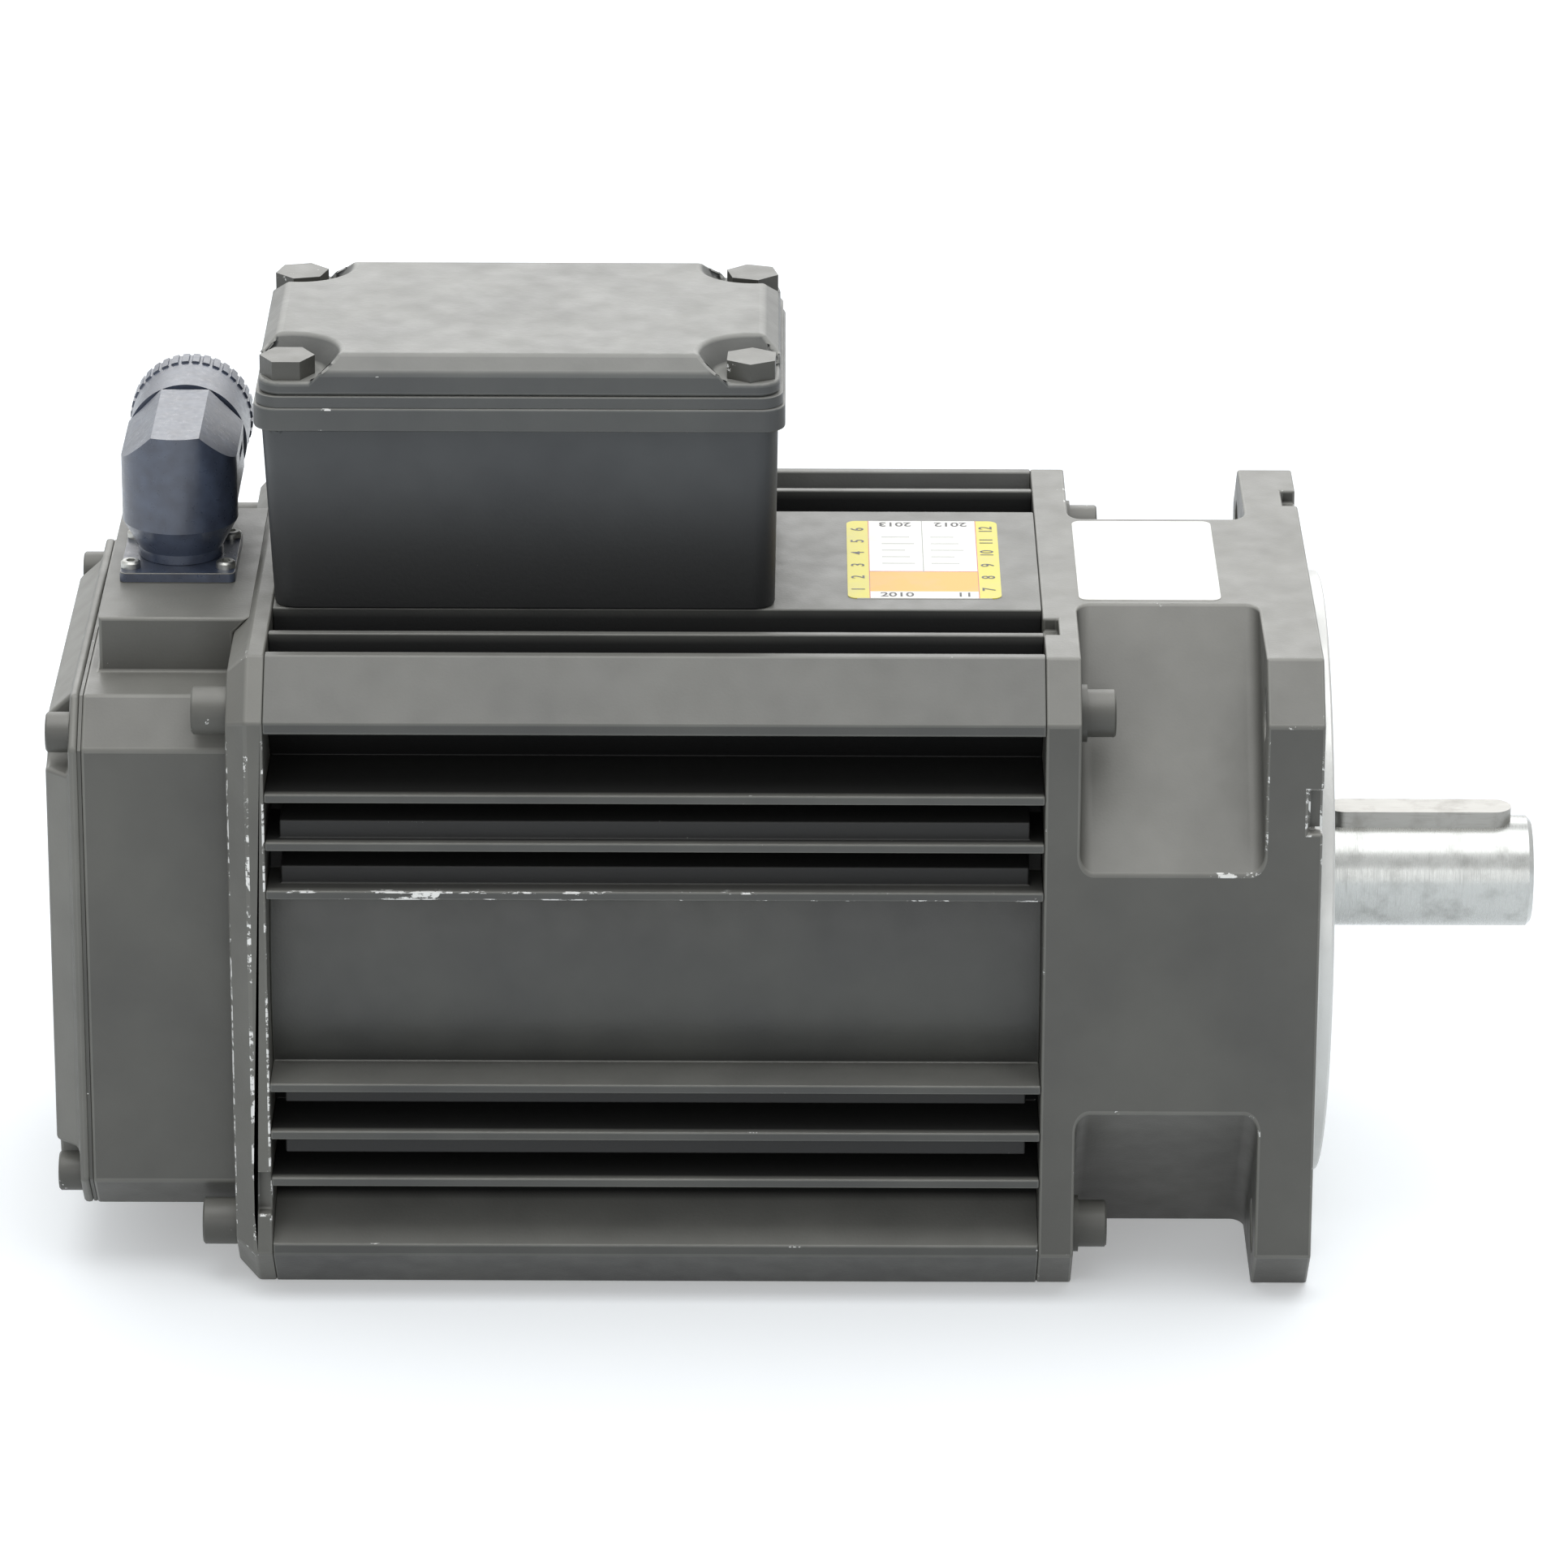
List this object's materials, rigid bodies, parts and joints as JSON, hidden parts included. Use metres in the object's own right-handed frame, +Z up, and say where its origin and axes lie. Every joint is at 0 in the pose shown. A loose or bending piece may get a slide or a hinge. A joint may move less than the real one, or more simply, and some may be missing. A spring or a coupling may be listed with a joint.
{
  "type": "servo motor",
  "caption": "Flange-mounted servo motor with a finned square frame, keyed shaft, terminal box on top and an angled signal connector.",
  "frame": {"origin": "centre of the flange's mounting face, on the shaft axis", "axes": "+X along the shaft, out of the motor; +Z up through the terminal box; the rear cover is at -X"},
  "size_m": [0.3163, 0.142, 0.1984],
  "materials": {
    "black_paint": "satin black paint",
    "painted_screws": "painted steel",
    "ground_steel": "ground",
    "bearing_steel": "polished",
    "sheet_steel": "phosphated",
    "seal_rubber": "matte",
    "laminated_steel": "laminated",
    "magnet": "nickel plated",
    "copper_winding": "enamelled copper in resin",
    "aluminium_body": "turned",
    "circuit_board": "solder mask",
    "connector_metal": "black anodised",
    "connector_insulator": "moulded",
    "contact_brass": "plated",
    "label_film": "printed film"
  },
  "bodies": {
    "housing": {"drive_end_flange": "black_paint", "drive_end_neck": "black_paint", "drive_end_plate": "black_paint", "stator_housing": "black_paint", "rear_end_shield": "black_paint", "encoder_housing": "black_paint", "rear_cover": "black_paint", "terminal_box": "black_paint", "terminal_box_frame": "black_paint", "terminal_box_lid": "black_paint", "drive_end_screws": "painted_screws", "drive_end_washers": "painted_screws", "rear_end_screws": "painted_screws", "rear_end_washers": "painted_screws", "rear_cover_screws": "painted_screws", "terminal_lid_screws": "painted_screws", "front_bearing_outer_ring": "bearing_steel", "rear_bearing_outer_ring": "bearing_steel", "preload_spring": "sheet_steel", "front_bearing_circlip": "sheet_steel", "terminal_box_screws": "sheet_steel", "encoder_screws": "sheet_steel", "earth_screw": "sheet_steel", "connector_screws": "sheet_steel", "shaft_seal": "seal_rubber", "rear_cover_gasket": "seal_rubber", "terminal_box_gasket": "seal_rubber", "stator_core": "laminated_steel", "stator_winding": "copper_winding", "encoder_body": "aluminium_body", "encoder_board": "circuit_board", "connector_flange": "connector_metal", "terminal_block": "connector_insulator", "terminal_studs": "contact_brass", "terminal_nuts": "contact_brass", "cable_entry_plugs": "contact_brass", "date_label": "label_film", "neck_label": "label_film"},
    "rotor": {"shaft": "ground_steel", "shaft_key": "ground_steel", "rear_bearing_circlip": "sheet_steel", "rotor_core": "laminated_steel", "rotor_magnets": "magnet", "front_bearing_inner_ring": "bearing_steel", "rear_bearing_inner_ring": "bearing_steel", "encoder_rotor": "aluminium_body"},
    "front_bearing_set": {"front_bearing_balls": "bearing_steel", "front_bearing_cage": "sheet_steel"},
    "rear_bearing_set": {"rear_bearing_balls": "bearing_steel", "rear_bearing_cage": "sheet_steel"},
    "connector": {"connector_elbow": "connector_metal", "connector_snap_ring": "sheet_steel", "connector_insert": "connector_insulator", "contact_pins": "contact_brass"},
    "coupling": {"coupling_ring": "connector_metal"}
  },
  "joints": [
    {"name": "shaft_spin", "type": "hinge", "parent": "housing", "child": "rotor", "pos_m": [0, 0, 0], "axis": [1, 0, 0], "continuous": true},
    {"name": "front_cage_spin", "type": "hinge", "parent": "housing", "child": "front_bearing_set", "pos_m": [-0.021, 0, 0], "axis": [1, 0, 0], "continuous": true},
    {"name": "rear_cage_spin", "type": "hinge", "parent": "housing", "child": "rear_bearing_set", "pos_m": [-0.2215, 0, 0], "axis": [1, 0, 0], "continuous": true},
    {"name": "connector_swivel", "type": "hinge", "parent": "housing", "child": "connector", "pos_m": [-0.2406, 0, 0.0723], "axis": [0, 0, 1], "range_deg": [0, 180]},
    {"name": "coupling_ring_spin", "type": "hinge", "parent": "connector", "child": "coupling", "pos_m": [-0.2406, 0.033, 0.0893], "axis": [0, 1, 0], "continuous": true}
  ],
  "couplings": [
    {"joint": "front_cage_spin", "follows": "shaft_spin", "ratio": 0.3965},
    {"joint": "rear_cage_spin", "follows": "shaft_spin", "ratio": 0.3969}
  ]
}
